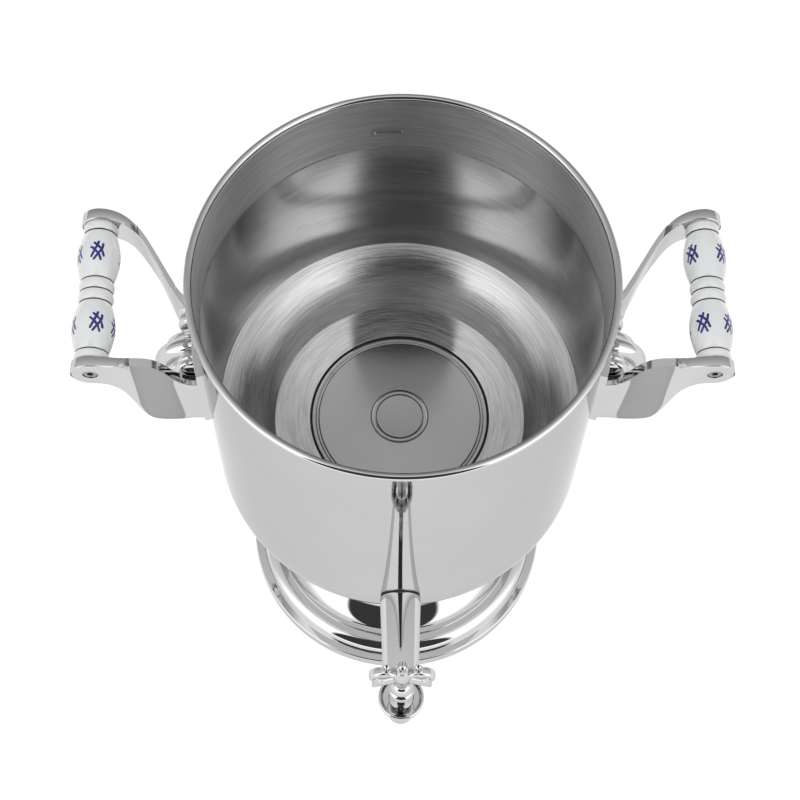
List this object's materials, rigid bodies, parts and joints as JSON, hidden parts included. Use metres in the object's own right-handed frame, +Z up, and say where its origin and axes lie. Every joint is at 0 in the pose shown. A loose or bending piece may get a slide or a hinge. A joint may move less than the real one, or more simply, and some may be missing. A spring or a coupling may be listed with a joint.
{
  "type": "hot water urn",
  "caption": "Double-walled electric hot water urn on a flared pedestal, open mouth, front tap with butterfly key, side handles with turned porcelain grips.",
  "frame": {"origin": "on the vessel's axis, in the plane that the rubber foot ring stands on", "axes": "+Z up along the vessel's axis, the tap points to -Y, the two handles stand out along -X and +X"},
  "size_m": [0.3192, 0.2839, 0.351],
  "materials": {
    "polished_steel": "mirror-polished stainless sheet",
    "brushed_steel": "stainless sheet brushed round the axis",
    "heater_steel": "satin stainless disc with a pressed ring",
    "plain_steel": "bright zinc-plated or stainless steel",
    "screw_steel": "darker hardened steel",
    "chrome": "chrome-plated die-cast zinc and brass",
    "porcelain": "white glazed porcelain with dark grooves and cobalt blue strokes",
    "white_ceramic": "unglazed white ceramic body",
    "brass": "machined brass",
    "aluminium": "cast aluminium",
    "element_sheath": "dull oxidised steel tube",
    "silicone_red": "red-brown silicone",
    "black_rubber": "matt black rubber",
    "black_plastic": "fine-textured black moulding",
    "rocker_plastic": "glossy red moulding",
    "fibre": "pressed fibre washer"
  },
  "bodies": {
    "urn": {"outer_shell": "polished_steel", "inner_vessel": "brushed_steel", "rim_ring": "polished_steel", "heater_plate": "heater_steel", "heater_gasket": "black_rubber", "heat_spreader": "aluminium", "heating_element": "element_sheath", "clamp_ring": "plain_steel", "clamp_studs": "plain_steel", "clamp_nuts": "plain_steel", "thermostat": "white_ceramic", "thermal_cutout": "black_plastic", "outlet_nut": "plain_steel", "outlet_seal": "silicone_red", "outlet_elbow": "brass", "link_hose": "silicone_red", "tap_gaskets": "black_rubber", "tap_lock_nut": "plain_steel", "tap_body": "chrome", "gland_nut": "chrome", "handle_frame_left": "chrome", "handle_frame_right": "chrome", "handle_boss_left": "chrome", "handle_boss_right": "chrome", "grip_left": "porcelain", "grip_right": "porcelain", "grip_rod_left": "plain_steel", "grip_rod_right": "plain_steel", "grip_washers": "fibre", "grip_screws": "screw_steel", "saddle_rivets": "plain_steel", "neck_collar": "polished_steel", "base_pedestal": "polished_steel", "base_plate": "black_plastic", "foot_ring": "black_rubber", "tie_rod": "plain_steel", "tie_nuts": "plain_steel", "tie_washer": "plain_steel", "rear_housing": "black_plastic", "power_inlet": "black_plastic", "inlet_pins": "brass", "switch_body": "black_plastic", "housing_screws": "screw_steel", "housing_nuts": "plain_steel"},
    "tap_key": {"tap_plug": "brass", "plug_seals": "black_rubber", "tap_key": "chrome", "key_finial": "chrome"},
    "rocker": {"rocker": "rocker_plastic"}
  },
  "joints": [
    {"name": "tap_turn", "type": "hinge", "parent": "urn", "child": "tap_key", "pos_m": [0, -0.1617, 0.186], "axis": [0, 0, 1], "range_deg": [0, 90]},
    {"name": "rocker_tilt", "type": "hinge", "parent": "urn", "child": "rocker", "pos_m": [0.017, 0.1028, 0.1696], "axis": [1, 0, 0], "range_deg": [-18, 0]}
  ]
}
